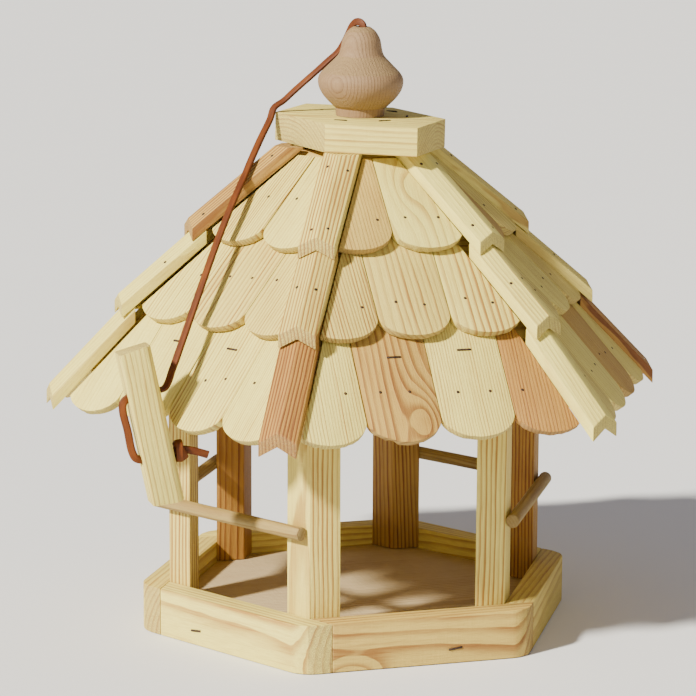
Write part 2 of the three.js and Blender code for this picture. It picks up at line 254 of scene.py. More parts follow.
def rusty_steel():
    n = Nodes("rusty_steel")
    place = n.tree.nodes.new("ShaderNodeTexCoord").outputs["Object"]
    spots = n.noise(place, (900, 900, 900), 3)
    colour = n.mix(n.smooth(spots, 0.4, 0.65), (0.02, 0.015, 0.012), (0.085, 0.04, 0.02))
    n.shader.inputs["Metallic"].default_value = 0.5
    return n.finish(colour, n.math("MULTIPLY_ADD", spots, 0.3, 0.45), n.bump(spots, 0.0001, 0.4))


PINE = wood("pine", (0.82, 0.715, 0.18), (0.43, 0.235, 0.045), (0.44, 0.225, 0.042), (0.2, 0.07, 0.014))
BEECH = wood("beech", (0.29, 0.185, 0.09), (0.2, 0.115, 0.05), (0.26, 0.155, 0.075), (0.18, 0.095, 0.04))
DOWEL = wood("dowel", (0.36, 0.265, 0.085), (0.24, 0.15, 0.04), (0.3, 0.18, 0.05), (0.19, 0.09, 0.025))
BOARD = wood("board", (0.55, 0.45, 0.26), (0.38, 0.27, 0.14), (0.42, 0.27, 0.13), (0.25, 0.14, 0.06))
LEATHER = leather()
STEEL = rusty_steel()


# ---------- building pieces ----------
class Piece:
    """Gathers closed lumps of wood into one mesh, each cut from its own place in a log."""

    def __init__(self, name):
        self.name = name
        self.verts, self.faces, self.grain, self.tone, self.knot, self.end = [], [], [], [], [], []
        self.random = random.Random(name)

    def lump(self, bm, along, across, tone, pith=None, knot=None, bevel=0.6, wear=0.12, tilt=1.2):
        """Adds bm, a bmesh in the feeder's frame. along and across are the directions of the grain and of
        the width; pith is its offset in millimetres from the lump's middle, (across, through)."""
        rnd = self.random
        if bevel:
            sharp = [e for e in bm.edges if len(e.link_faces) == 2 and e.calc_face_angle(0) > 0.4]
            bmesh.ops.bevel(
                bm, geom=sharp, offset=bevel * MM, segments=2, profile=0.6, affect="EDGES", clamp_overlap=True
            )
        for v in bm.verts:
            v.co += noise.noise_vector(v.co / (4 * MM)) * wear * MM
        bm.normal_update()
        ax = along.normalized()
        az = ax.cross(across).normalized()
        ay = az.cross(ax)
        middle = sum((v.co for v in bm.verts), Vector()) / len(bm.verts)
        py, pz = pith if pith else (rnd.choice((-1, 1)) * rnd.uniform(45, 120), rnd.uniform(-25, 25))
        start = rnd.uniform(-4000, 4000)
        turn = Matrix.Rotation(math.radians(rnd.uniform(-tilt, tilt)), 3, "Z")
        turn = turn @ Matrix.Rotation(math.radians(rnd.uniform(-tilt, tilt)), 3, "Y")

        def log_place(co):
            d = co - middle
            local = turn @ (Vector((d.dot(ax), d.dot(ay), d.dot(az))) / MM)
            return (local.x + start, local.y + py, local.z + pz)

        base = len(self.verts)
        bm.verts.index_update()
        self.verts += [v.co.copy() for v in bm.verts]
        self.grain += [log_place(v.co) for v in bm.verts]
        self.tone += [tone] * len(bm.verts)
        far = log_place(knot) if knot else (1e5, 0, 0)
        self.knot += [far] * len(bm.verts)
        for f in bm.faces:
            self.faces.append([base + v.index for v in f.verts])
            self.end.append(1.0 if abs(f.normal.dot(ax)) > 0.6 else 0.0)
        bm.free()

    def make(self, material, body, replaced, smooth_angle=40):
        mesh = bpy.data.meshes.new(self.name)
        mesh.from_pydata(self.verts, [], self.faces)
        for name, kind, domain, values in (
            ("grain", "FLOAT_VECTOR", "POINT", [c for v in self.grain for c in v]),
            ("tone", "FLOAT_VECTOR", "POINT", [c for v in self.tone for c in v]),
            ("knot", "FLOAT_VECTOR", "POINT", [c for v in self.knot for c in v]),
            ("end", "FLOAT", "FACE", self.end),
        ):
            layer = mesh.attributes.new(name, kind, domain)
            layer.data.foreach_set("vector" if kind == "FLOAT_VECTOR" else "value", values)
        return finish_object(self.name, mesh, material, body, replaced, smooth_angle)


def finish_object(name, mesh, material, body, replaced, smooth_angle=40):
    mesh.polygons.foreach_set("use_smooth", [True] * len(mesh.polygons))
    mesh.set_sharp_from_angle(angle=math.radians(smooth_angle))
    mesh.materials.append(material)
    obj = bpy.data.objects.new(name, mesh)
    bpy.context.collection.objects.link(obj)
    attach(obj, body)
    if replaced:
        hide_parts(*replaced)
    return obj


def cad_solid(node):
    """A bmesh copy of a CAD node with its shared corners welded and its flat faces whole."""
    bm = bmesh.new()
    bm.from_mesh(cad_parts[node].data)
    bmesh.ops.remove_doubles(bm, verts=bm.verts, dist=1e-5)
    bmesh.ops.dissolve_limit(bm, angle_limit=math.radians(1), verts=bm.verts, edges=bm.edges)
    return bm


def prism(outline, place, low, high):
    """A bmesh prism of a counter-clockwise outline, given as two outlines for its low and high face."""
    bm = bmesh.new()
    levels = zip(outline, (low, high))
    rings = [[bm.verts.new(place(x, y, h)) for x, y in points] for points, h in levels]
    count = len(rings[0])
    bm.faces.new(list(reversed(rings[0])))
    bm.faces.new(rings[1])
    for i in range(count):
        j = (i + 1) % count
        bm.faces.new((rings[0][i], rings[0][j], rings[1][j], rings[1][i]))
    bmesh.ops.recalc_face_normals(bm, faces=bm.faces)
    return bm


def clip(points, a, b):
    """The part of a convex outline to the left of the line from a to b."""
    kept = []

    def inside(p):
        return (b[0] - a[0]) * (p[1] - a[1]) - (b[1] - a[1]) * (p[0] - a[0])

    for i, p in enumerate(points):
        q = points[(i + 1) % len(points)]
        fp, fq = inside(p), inside(q)
        if fp >= 0:
            kept.append(p)
        if (fp > 0 > fq) or (fp < 0 < fq):
            t = fp / (fp - fq)
            kept.append((p[0] + (q[0] - p[0]) * t, p[1] + (q[1] - p[1]) * t))
    return kept


nails, staples = [], []  # (place, normal) and (place, normal, direction)

# ---------- shingles ----------
SHINGLE_WIDTH, SHINGLE_ROUND = 54.2, 18.0
COUNT = {"upper": 2, "middle": 3, "lower": 4}
JOINT_SHIFT = {
    ("front", "upper"): -6, ("front", "middle"): -4, ("front", "lower"): 1,
    ("left_front", "upper"): 4, ("left_front", "middle"): 5, ("left_front", "lower"): 4,
}
# warmth, ring strength, ring spacing, pith (across, through) of the shingles that have a look of their own
FIGURES = {
    ("lower", "front", 0): (0.02, 0.55, 2.2, (90, 12)),
    ("lower", "front", 1): (0.78, 0.72, 4.2, (-30, 20)),
    ("lower", "front", 2): (0.06, 0.5, 2.0, (80, 20)),
    ("lower", "front", 3): (0.98, 0.6, 2.4, (110, 10)),
    ("middle", "front", 0): (0.32, 1.0, 2.3, (85, 30)),
    ("middle", "front", 1): (0.32, 0.5, 3.4, (40, 32)),
    ("middle", "front", 2): (0.16, 0.75, 5.0, (70, 25)),
    ("upper", "front", 0): (0.62, 0.35, 2.6, (95, 18)),
    ("upper", "front", 1): (0.05, 0.35, 6.0, (25, 20)),
    ("lower", "left_front", 0): (0.0, 0.12, 4.0, (70, 22)),
    ("lower", "left_front", 1): (0.03, 0.25, 3.0, (80, 15)),
    ("lower", "left_front", 2): (0.04, 0.6, 2.8, (60, 22)),
    ("lower", "left_front", 3): (0.02, 0.45, 2.0, (90, 8)),
    ("middle", "left_front", 0): (0.04, 0.55, 3.2, (60, 20)),
    ("middle", "left_front", 1): (0.26, 0.7, 3.8, (80, 20)),
    ("middle", "left_front", 2): (0.24, 0.55, 3.0, (70, 14)),
    ("upper", "left_front", 0): (0.1, 0.8, 2.6, (90, 14)),
    ("upper", "left_front", 1): (0.05, 0.3, 3.0, (60, 16)),
}
# how far down from a row's top its nails and staples stand, and how far from a shingle's middle
NAIL_LINE = {"upper": 60, "middle": 65, "lower": 60}
NAIL_LINE_LEFT_FRONT = {"upper": 43, "middle": 47, "lower": 54}
NAIL_APART = 11
STAPLE_LINE = 28
STAPLED = {("front", 1), ("front", 2), ("left_front", 1), ("left_front", 2)}


def slab_frame(node):
    """The origin at the top middle of a CAD row's upper face, its level, down and out directions,
    and its length, top half-width, bottom half-width and thickness in millimetres."""
    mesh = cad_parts[node].data
    side = node.split("_", 3)[3]
    level = direction(SIDES[side] + 90)
    out = max(mesh.polygons, key=lambda p: p.area * (p.normal.z > 0)).normal.copy()
    down = level.cross(out).normalized()
    down = -down if down.z > 0 else down
    points = [v.co for v in mesh.vertices]
    top_out = max(p.dot(out) for p in points)
    low_out = min(p.dot(out) for p in points)
    first = min(p.dot(down) for p in points)
    last = max(p.dot(down) for p in points)
    top_half = max(abs(p.dot(level)) for p in points if p.dot(down) < first + 0.5 * MM)
    origin = down * first + out * top_out
    return origin, level, down, out, (last - first) / MM, top_half / MM, (top_out - low_out) / MM


def shingle_row(tier, side):
    node = f"shingle_row_{tier}_{side}"
    origin, level, down, out, length, top_half, thickness = slab_frame(node)
    piece = Piece(node)
    rnd = piece.random
    count, half = COUNT[tier], SHINGLE_WIDTH / 2
    left = JOINT_SHIFT.get((side, tier), 0) - count * half
    # half-width between the hips grows by this much for each millimetre down the slope
    spread = math.hypot(down.x, down.y) * math.tan(math.pi / 6)

    def wide(fallen):
        return top_half + 0.4 + fallen * spread

    for i in range(count):
        centre = left + (2 * i + 1) * half
        lengthen = rnd.uniform(-1.2, 0.6)
        lift = rnd.uniform(-0.25, 0.3)
        roll = math.radians(rnd.uniform(-0.45, 0.45))
        gap = rnd.uniform(0.25, 0.55)
        straight = length - SHINGLE_ROUND + lengthen
        torn = tier == "lower" and side == "front" and i == 1
        rings = []
        for face in ("low", "high"):
            rough = 0.55 if face == "low" else 0.16
            phase = rnd.uniform(0, 100)
            points = [(half - gap, 0.0), (half - gap, straight)]
            steps = 26
            for k in range(1, steps):
                a = math.pi * k / steps
                chip = rough * (noise.noise(Vector((phase + k * 0.9, i, 0))) + 0.5 * rnd.uniform(-1, 1))
                if face == "low":
                    chip -= 0.5
                if torn and k > 15:
                    chip -= (2.6 if face == "low" else 1.1) * (0.6 + 0.5 * rnd.random())
                fall = math.sin(a) * SHINGLE_ROUND + chip * math.sin(a) ** 0.5
                points.append((math.cos(a) * (half - gap), straight + fall))
            points += [(-half + gap, straight), (-half + gap, 0.0)]
            points = [(centre + x, y) for x, y in points]
            far = length + 5
            points = clip(points, (wide(0), 0), (wide(far), far))
            points = clip(points, (-wide(far), far), (-wide(0), 0))
            rings.append(points)
        if len(rings[0]) != len(rings[1]) or len(rings[0]) < 4:
            shared = min(rings, key=len)
            rings = [shared, shared]
        if min(len(r) for r in rings) < 4:
            continue
        xs = [x for x, _ in rings[1]]
        middle_x = (min(xs) + max(xs)) / 2

        def place(x, y, h):
            height = h + lift + (x - centre) * math.sin(roll)
            return origin + level * x * MM + down * y * MM + out * height * MM

        bm = prism(rings, place, -thickness, 0.0)
        figure = FIGURES.get((tier, side, i))
        if figure is None:
            figure = (
                rnd.choice((0.02, 0.05, 0.08, 0.15, 0.3, 0.75)),
                rnd.uniform(0.3, 0.8),
                rnd.uniform(2.0, 4.2),
                (rnd.choice((-1, 1)) * rnd.uniform(25, 110), rnd.uniform(8, 34)),
            )
        knot = None
        if (tier, side, i) == ("lower", "front", 1):
            knot = origin + level * (centre + 17) * MM + down * (length - 15) * MM - out * 4 * MM
        if (tier, side, i) == ("upper", "front", 1):
            knot = origin + level * (centre - 9) * MM + down * 30 * MM - out * 9 * MM
        piece.lump(bm, down, level, figure[:3], figure[3], knot, bevel=0.35, wear=0.14)
        wide_enough = max(xs) - min(xs) > 26
        line = (NAIL_LINE_LEFT_FRONT if side == "left_front" else NAIL_LINE)[tier]
        for dx in (-NAIL_APART, NAIL_APART) if wide_enough else (0,):
            x = middle_x + dx + rnd.uniform(-3, 3)
            y = line + rnd.uniform(-3, 3)
            if abs(x) < wide(y) - 4:
                nails.append((place(x, y, 0), out))
        if tier == "lower" and (side, i) in STAPLED:
            x = middle_x + rnd.uniform(-3, 3)
            staples.append((place(x, STAPLE_LINE + rnd.uniform(-2, 2), 0), out, level))
    return piece.make(PINE, "feeder", [node])


# ---------- hip caps ----------
# warmth, ring strength and ring spacing of the caps that show
CAP_TONES = {
    ("upper", "left"): (0.8, 1.2, 2.6), ("middle", "left"): (0.0, 0.2, 3.0),
    ("lower", "left"): (0.05, 0.3, 3.4),
    ("upper", "front_left"): (0.2, 1.25, 2.7), ("middle", "front_left"): (0.35, 1.1, 2.3),
    ("lower", "front_left"): (1.0, 1.5, 2.6),
    ("upper", "front_right"): (0.0, 0.12, 3.0), ("middle", "front_right"): (0.02, 0.5, 3.2),
    ("lower", "front_right"): (0.0, 0.2, 3.0),
    ("upper", "right"): (0.2, 0.5, 3.4), ("middle", "right"): (0.12, 0.6, 3.4),
    ("lower", "right"): (1.0, 1.0, 3.0),
}
# how far back from a cap's low end its nails stand, and how far down each slope
CAP_NAIL_BACK = {"upper": (10, 75), "middle": (39,), "lower": (35,)}
CAP_NAIL_DOWN = 8
# how far a cap's two faces slope from its ridge, and the run and fall of its ridge line
CAP_SLOPE = math.radians(20.9)
CAP_FALL = {"upper": (85.5, -67.1), "middle": (65, -53.6), "lower": (63, -63)}


def hip_cap(tier, corner):
    node = f"hip_cap_{tier}_{corner}"
    piece = Piece(node)
    rnd = piece.random
    bm = cad_solid(node)
    outward, level = direction(CORNERS[corner]), direction(CORNERS[corner] + 90)
    run, fall = CAP_FALL[tier]
    along = (outward * run + UP * fall).normalized()
    ridge = [v.co for v in bm.verts if abs(v.co.dot(level)) < 0.2 * MM]
    low = max(ridge, key=lambda p: p.dot(outward) + p.z).copy()
    plain = (rnd.choice((0.03, 0.1, 0.3, 0.8)), rnd.uniform(0.3, 0.9), rnd.uniform(2.2, 3.4))
    tone = CAP_TONES.get((tier, corner), plain)
    pith = (rnd.choice((-1, 1)) * rnd.uniform(60, 110), rnd.uniform(-8, 8))
    piece.lump(bm, along, level, tone, pith, bevel=0.7, wear=0.2)
    out = level.cross(along)
    out = -out if out.z < 0 else out
    for back in CAP_NAIL_BACK[tier]:
        for sign in (-1, 1):
            face = out * math.cos(CAP_SLOPE) + level * sign * math.sin(CAP_SLOPE)
            down = level * sign * math.cos(CAP_SLOPE) - out * math.sin(CAP_SLOPE)
            fallen, shift = CAP_NAIL_DOWN + rnd.uniform(-2, 2), back + rnd.uniform(-3, 3)
            nails.append((low + (down * fallen - along * shift) * MM, face))
    return piece.make(PINE, "feeder", [node])


# ---------- boards, posts and perches ----------
# warmth, ring strength, ring spacing, pith (across, through)
RIM_TONES = {
    "left_front": (0.1, 0.62, 4.6, (8, 60)), "front": (0.58, 0.7, 5.0, (20, 45)),
    "right_front": (0.42, 0.5, 4.0, (12, 50)), "left_back": (0.28, 0.5, 4.0, (15, 45)),
}
POST_TONES_AND_SHADE = {
    # post left's warmth of 0.3 is raised as painted shade: its warmer, darker wood stands in for the eave's
    # shadow on it
    "left": (0.3, 1.0, 3.6, (45, 8)), "front_left": (0.2, 0.75, 3.4, (30, 42)),
    "front_right": (0.16, 0.8, 3.0, (60, 10)), "right": (0.88, 0.9, 3.4, (50, 8)),
    "back_right": (0.85, 0.95, 3.2, (55, 12)), "back_left": (1.0, 0.9, 3.0, (50, 12)),
}


def rim_board(side):
    node = f"rim_board_{side}"
    piece = Piece(node)
    bm = cad_solid(node)
    figure = RIM_TONES.get(side, (0.2, 0.55, 3.8, (15, 40)))
    outward, level = direction(SIDES[side]), direction(SIDES[side] + 90)
    knot = None
    if side == "front":
        knot = (outward * 148 - level * 50 - UP * 5) * MM
    piece.lump(bm, level, UP, figure[:3], figure[3], knot, bevel=0.9, wear=0.2, tilt=3.2)
    return piece.make(PINE, "feeder", [node])


def post(corner):
    node = f"post_{corner}"
    piece = Piece(node)
    figure = POST_TONES_AND_SHADE[corner]
    across = direction(CORNERS[corner] + 90)
    piece.lump(cad_solid(node), UP, across, figure[:3], figure[3], bevel=0.8, wear=0.15)
    return piece.make(PINE, "feeder", [node])


PERCH_RADIUS, PERCH_SIDES = 5 * MM, 40
SPLINTERS = 34


def perch(side):
    node = f"perch_{side}"
    piece = Piece(node)
    low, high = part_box(node)
    along = direction(SIDES[side] + 90)
    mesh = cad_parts[node].data
    spans = [v.co.dot(along) for v in mesh.vertices]
    start, stop = min(spans), max(spans)
    centre = (low + high) / 2
    centre -= along * centre.dot(along)
    radial = direction(SIDES[side])
    bm = bmesh.new()
    between = [start + (stop - start) * k / 12 for k in range(1, 12)]
    stations = [start, start + 0.5 * MM] + between + [stop - 0.5 * MM, stop]
    rings = []
    for k, s in enumerate(stations):
        r = PERCH_RADIUS - (0.45 * MM if k in (0, len(stations) - 1) else 0)
        ring = []
        for j in range(PERCH_SIDES):
            a = 2 * math.pi * j / PERCH_SIDES
            ring.append(bm.verts.new(centre + along * s + (radial * math.cos(a) + UP * math.sin(a)) * r))
        rings.append(ring)
    for a, b in zip(rings, rings[1:]):
        for j in range(PERCH_SIDES):
            i = (j + 1) % PERCH_SIDES
            bm.faces.new((a[j], a[i], b[i], b[j]))
    bm.faces.new(rings[0])
    bm.faces.new(rings[-1])
    bmesh.ops.recalc_face_normals(bm, faces=bm.faces)
    piece.lump(bm, along, UP, (0.2, 0.6, 2.2), (14, 22), bevel=0, wear=0.15)
    if side == "right_front":
        splinters(piece, centre + along * start, -along, radial)
    return piece.make(DOWEL, "feeder", [node], 50)


def splinters(piece, end, away, radial):
    """A ragged crown of torn fibres round a dowel's end."""
    rnd = piece.random
    for k in range(SPLINTERS):
        a = 2 * math.pi * k / SPLINTERS + rnd.uniform(-0.08, 0.08)
        spoke = radial * math.cos(a) + UP * math.sin(a)
        side = away.cross(spoke)
        root = end + spoke * (PERCH_RADIUS - rnd.uniform(0.3, 1.6) * MM)
        tip = root + away * rnd.uniform(0.2, 1.6) * MM + spoke * rnd.uniform(0.3, 1.7) * MM
        width = rnd.uniform(0.25, 0.5) * MM
        bm = bmesh.new()
        base = [root + offset * width - away * MM for offset in (side, -side, spoke)]
        corners = [bm.verts.new(p) for p in base]
        top = bm.verts.new(tip)
        bm.faces.new(corners)
        for i in range(3):
            bm.faces.new((corners[i], corners[(i + 1) % 3], top))
        bmesh.ops.recalc_face_normals(bm, faces=bm.faces)
        piece.lump(bm, away, UP, (0.12, 0.3, 2.2), (14, 22), bevel=0, wear=0)


def plain_board(node, along, across, figure, bevel=0.8):
    piece = Piece(node)
    piece.lump(cad_solid(node), along, across, figure[:3], figure[3], bevel=bevel, wear=0.15)
    material = BOARD if node == "floor_panel" else PINE
    return piece.make(material, "feeder", [node])


def roof_deck():
    """Six mitred boards, as thick as the CAD pyramid's walls."""
    node = "roof_deck"
    piece = Piece(node)
    bm = cad_solid(node)
    at_corner = {}
    for angle in CORNERS.values():
        o = direction(angle)
        ring = [v.co.copy() for v in bm.verts if Vector((v.co.x, v.co.y, 0)).normalized().dot(o) > 0.999]
        at_corner[angle] = sorted(ring, key=lambda p: (round(p.z, 3), p.dot(o)))
    bm.free()
    for angle in SIDES.values():
        solid = bmesh.new()
        low, high = at_corner[(angle - 30) % 360], at_corner[(angle + 30) % 360]
        level = direction(angle + 90)
        a = [solid.verts.new(p + level * 0.15 * MM) for p in low]
        b = [solid.verts.new(p - level * 0.15 * MM) for p in high]
        for ring in ((a[0], a[1], a[3], a[2]), (b[0], b[2], b[3], b[1]), (a[0], b[0], b[1], a[1]),
                     (a[2], a[3], b[3], b[2]), (a[0], a[2], b[2], b[0]), (a[1], b[1], b[3], a[3])):
            solid.faces.new(ring)
        bmesh.ops.recalc_face_normals(solid, faces=solid.faces)
        piece.lump(solid, level, UP, (0.55, 0.6, 4.5), bevel=0.4, wear=0.1)
    return piece.make(PINE, "feeder", [node])


# ---------- finial ----------
FINIAL_LEAN = math.radians(3)
FINIAL_SIDES = 72
FINIAL_BORE_DEPTH = 12 * MM  # as far as the bore can be seen from above


def finial():
    node = "finial"
    piece = Piece(node)
    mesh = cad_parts[node].data
    axis = Vector((0, -math.sin(FINIAL_LEAN), math.cos(FINIAL_LEAN)))
    points = [v.co for v in mesh.vertices]
    base_height = min(p.dot(axis) for p in points)
    foot = [p for p in points if p.dot(axis) < base_height + 0.1 * MM]
    centre = sum(foot, Vector()) / len(foot)
    spokes = [((p - centre).dot(axis), p - centre) for p in points]
    profile = sorted({(round(h, 6), round((d - axis * h).length, 5)) for h, d in spokes})
    bore = min(r for _, r in profile)
    outer = [(h, r) for h, r in profile if r > bore * 1.15]
    kept = []
    for h, r in outer:
        if not kept or h - kept[-1][0] > 0.4 * MM or abs(r - kept[-1][1]) > MM:
            kept.append((h, r))
    top = kept[-1][0]
    rings_of = [(0.0, bore), (0.0, kept[0][1] - 0.5 * MM)] + kept[1:]
    rings_of += [(top, bore), (top - FINIAL_BORE_DEPTH, bore)]
    side, other = Vector((1, 0, 0)), axis.cross(Vector((1, 0, 0)))
    bm = bmesh.new()
    rings = []
    for h, r in rings_of:
        rings.append([
            bm.verts.new(centre + axis * h + (side * math.cos(a) + other * math.sin(a)) * r)
            for a in (2 * math.pi * j / FINIAL_SIDES for j in range(FINIAL_SIDES))
        ])
    for a, b in zip(rings, rings[1:] + rings[:1]):
        for j in range(FINIAL_SIDES):
            i = (j + 1) % FINIAL_SIDES
            bm.faces.new((a[j], a[i], b[i], b[j]))
    bmesh.ops.recalc_face_normals(bm, faces=bm.faces)
    piece.lump(bm, axis, side, (0.3, 0.35, 2.4), (35, 30), bevel=0, wear=0.05)
    return piece.make(BEECH, "feeder", [node], 45)


# ---------- toggle ----------
TOGGLE_CENTRE = Vector((-189, -118, 182.6)) * MM
TOGGLE_LEAN = math.radians(12)
TOGGLE_END_ARCH = 2.0  # millimetres
TOGGLE_X = Vector((math.cos(TOGGLE_LEAN), 0, math.sin(TOGGLE_LEAN)))
TOGGLE_Z = Vector((-math.sin(TOGGLE_LEAN), 0, math.cos(TOGGLE_LEAN)))
Y = Vector((0, 1, 0))


def on_toggle(x, y, z):
    return TOGGLE_CENTRE + (TOGGLE_X * x + Y * y + TOGGLE_Z * z) * MM


def toggle_bar():
    node = "toggle_bar"
    piece = Piece(node)
    bm = cad_solid(node)
    for v in bm.verts:  # the saw left the ends slightly arched
        d = v.co - TOGGLE_CENTRE
        if abs(d.dot(TOGGLE_Z)) > 50 * MM:
            x = d.dot(TOGGLE_X) / MM
            arch = ((x - 3) / 14.75) ** 2 * TOGGLE_END_ARCH * MM
            v.co -= TOGGLE_Z * math.copysign(arch, d.dot(TOGGLE_Z))
    piece.lump(bm, TOGGLE_Z, TOGGLE_X, (0.06, 0.5, 3.2), (40, 24), bevel=0.35, wear=0.15)
    return piece.make(PINE, "toggle", [node], 30)


# ---------- lace ----------
HANGING_LACE = [
    (0, 0.6, 358), (0, -0.8, 385), (0.2, -2.1, 410), (0.9, -3.4, 430), (1.5, -4.5, 446), (1.5, -4.6, 453.4),
    (1, -3.8, 457.2), (-0.6, -1.2, 459.2), (-2.8, 2.8, 458.8), (-4.8, 7.2, 455.2), (-6.4, 11.2, 449.4),
    (-8.8, 14.6, 442.6), (-12.2, 17.5, 436.1), (-19.2, 20, 429.3), (-26.7, 22.5, 422.1), (-35.1, 25.5, 414.2),
    (-43.7, 27.5, 406.4), (-51.8, 28.4, 399), (-59.6, 27.3, 393.9), (-64.4, 21.6, 385.6),
    (-73.6, 11.3, 373.6), (-83.4, -0.4, 360.4), (-91.6, -10.6, 348.6), (-105.4, -29, 330.6),
    (-121.4, -49, 306.6), (-138, -70.6, 279), (-153.4, -89.6, 251.6), (-166, -105, 229),
    (-171.8, -111.6, 218.6), (-175.4, -115.8, 211.8), (-178.4, -117.7, 208.5), (-181.6, -118, 207.5),
]
TOGGLE_LACE = [
    (11.4, 0, 22.85), (0, 0, 22.85), (-11, 0, 22.85), (-15, 0, 20.6), (-16.6, 0, 15), (-16.4, 0, 0),
    (-16.6, 0, -15), (-15, 0, -20.6), (-11, 0, -22.85), (0, 0, -22.85), (11.4, 0, -22.85), (18, 0, -23),
    (26, -0.6, -26), (36, -1.6, -31.5),
]
LACE_WIDTH, LACE_THICKNESS = 5.6, 2.6


def smooth_route(points, step=1.2 * MM):
    """Points about a step apart on the centripetal Catmull-Rom curve through the given ones."""
    ends = [points[0] * 2 - points[1]] + points + [points[-1] * 2 - points[-2]]
    route = []
    for p0, p1, p2, p3 in zip(ends, ends[1:], ends[2:], ends[3:]):
        t0 = 0.0
        t1 = t0 + (p1 - p0).length ** 0.5
        t2 = t1 + (p2 - p1).length ** 0.5
        t3 = t2 + (p3 - p2).length ** 0.5
        count = max(2, round((p2 - p1).length / step))
        for k in range(count):
            t = t1 + (t2 - t1) * k / count
            a1 = p0 * ((t1 - t) / (t1 - t0)) + p1 * ((t - t0) / (t1 - t0))
            a2 = p1 * ((t2 - t) / (t2 - t1)) + p2 * ((t - t1) / (t2 - t1))
            a3 = p2 * ((t3 - t) / (t3 - t2)) + p3 * ((t - t2) / (t3 - t2))
            b1 = a1 * ((t2 - t) / (t2 - t0)) + a2 * ((t - t0) / (t2 - t0))
            b2 = a2 * ((t3 - t) / (t3 - t1)) + a3 * ((t - t1) / (t3 - t1))
            route.append(b1 * ((t2 - t) / (t2 - t1)) + b2 * ((t - t1) / (t2 - t1)))
    return route + [points[-1]]


STRIP_SIDES = 20


def strip_mesh(route, facing, width=LACE_WIDTH, thickness=LACE_THICKNESS, closed=False):
    """A flat leather strip along route. facing(k) is roughly the normal of its flat side at point k."""
    verts, faces, lace = [], [], []
    w, t = width / 2, thickness / 2
    section = []
    for j in range(STRIP_SIDES):
        a = 2 * math.pi * (j + 0.5) / STRIP_SIDES
        c, s = math.cos(a), math.sin(a)
        section.append((w * math.copysign(abs(c) ** 0.4, c), t * math.copysign(abs(s) ** 0.55, s)))
    count = len(route)
    run = 0.0
    for k, p in enumerate(route):
        if closed:
            tangent = (route[(k + 1) % count] - route[k - 1]).normalized()
        else:
            tangent = (route[min(k + 1, count - 1)] - route[max(k - 1, 0)]).normalized()
        normal = facing(k)
        normal = (normal - tangent * normal.dot(tangent)).normalized()
        across = tangent.cross(normal)
        swell = 1 + 0.05 * noise.noise(p / (9 * MM))
        if k:
            run += (p - route[k - 1]).length / MM
        for x, y in section:
            verts.append(p + (across * x * swell + normal * y) * MM)
            lace.append((run, x / w, y))
    for k in range(count if closed else count - 1):
        for j in range(STRIP_SIDES):
            a, b = k * STRIP_SIDES, ((k + 1) % count) * STRIP_SIDES
            i = (j + 1) % STRIP_SIDES
            faces.append((a + j, a + i, b + i, b + j))
    if not closed:
        faces.append(tuple(reversed(range(STRIP_SIDES))))
        faces.append(tuple(range((count - 1) * STRIP_SIDES, count * STRIP_SIDES)))
    return verts, faces, lace


def leather_object(name, meshes, body, replaced):
    mesh = bpy.data.meshes.new(name)
    verts, faces, lace = [], [], []
    for v, f, l in meshes:
        base = len(verts)
        verts += v
        lace += l
        faces += [tuple(base + i for i in face) for face in f]
    mesh.from_pydata(verts, [], faces)
    bm = bmesh.new()
    bm.from_mesh(mesh)
    bmesh.ops.recalc_face_normals(bm, faces=bm.faces)
    bm.to_mesh(mesh)
    bm.free()
    layer = mesh.attributes.new("lace", "FLOAT_VECTOR", "POINT")
    layer.data.foreach_set("vector", [c for v in lace for c in v])
    return finish_object(name, mesh, LEATHER, body, replaced, 60)


def hanging_lace():
    route = smooth_route([Vector(p) * MM for p in HANGING_LACE])
    roof_out = (direction(210) * 0.66 + UP * 0.75).normalized()
    # carry the flat side's direction back from the toggle without twisting it
    normals = [None] * len(route)
    normal = roof_out
    for k in range(len(route) - 1, -1, -1):
        tangent = (route[min(k + 1, len(route) - 1)] - route[max(k - 1, 0)]).normalized()
        normal = (normal - tangent * normal.dot(tangent)).normalized()
        normals[k] = normal
    strip = strip_mesh(route, lambda k: normals[k])
    lace = leather_object("hanging_lace", [strip], "feeder", ["hanging_lace"])
    knot = leather_object("lace_knot_inside", knot_meshes(
        Vector((0, 2, 359.4)) * MM, Vector((0, 0, 1)), Vector((1, 0, 0)), Vector((0, 1, 0)), 5.0, 5.5
    ), "feeder", [])


def knot_meshes(centre, through, high, deep, half_high, half_deep):
    """Stands for a knot of flat lace: two turns round the strand that runs along through."""
    turns = []
    for shift, lean, grow in ((-0.6, 0.16, 1.0), (0.9, -0.3, 0.9)):
        loop = []
        for k in range(36):
            a = 2 * math.pi * k / 36
            c, s = math.cos(a), math.sin(a)
            y = half_high * grow * math.copysign(abs(s) ** 0.75, s)
            x = half_deep * grow * math.copysign(abs(c) ** 0.75, c)
            loop.append(centre + (high * y + deep * x + through * (shift + lean * y)) * MM)
        turns.append(strip_mesh(loop, lambda k, l=loop: l[k] - centre, 5.4, 2.4, closed=True))
    return turns


def toggle_lace():
    route = smooth_route([on_toggle(*p) for p in TOGGLE_LACE], 0.8 * MM)
    lower = -Y * 0.9 - TOGGLE_X * 0.42
    strip = strip_mesh(route, lambda k: lower)
    lace = leather_object("toggle_lace", [strip], "toggle", ["toggle_lace"])
    knot = leather_object(
        "lace_knot_outside",
        knot_meshes(on_toggle(16.6, 0, -23.4), TOGGLE_X, TOGGLE_Z, Y, 6.8, 4.2),
        "toggle",
        [],
    )


# ---------- nails and staples ----------
def steel_object(name, shapes):
    mesh = bpy.data.meshes.new(name)
    verts, faces = [], []
    for v, f in shapes:
        base = len(verts)
        verts += v
        faces += [tuple(base + i for i in face) for face in f]
    mesh.from_pydata(verts, [], faces)
    return finish_object(name, mesh, STEEL, "feeder", [], 50)


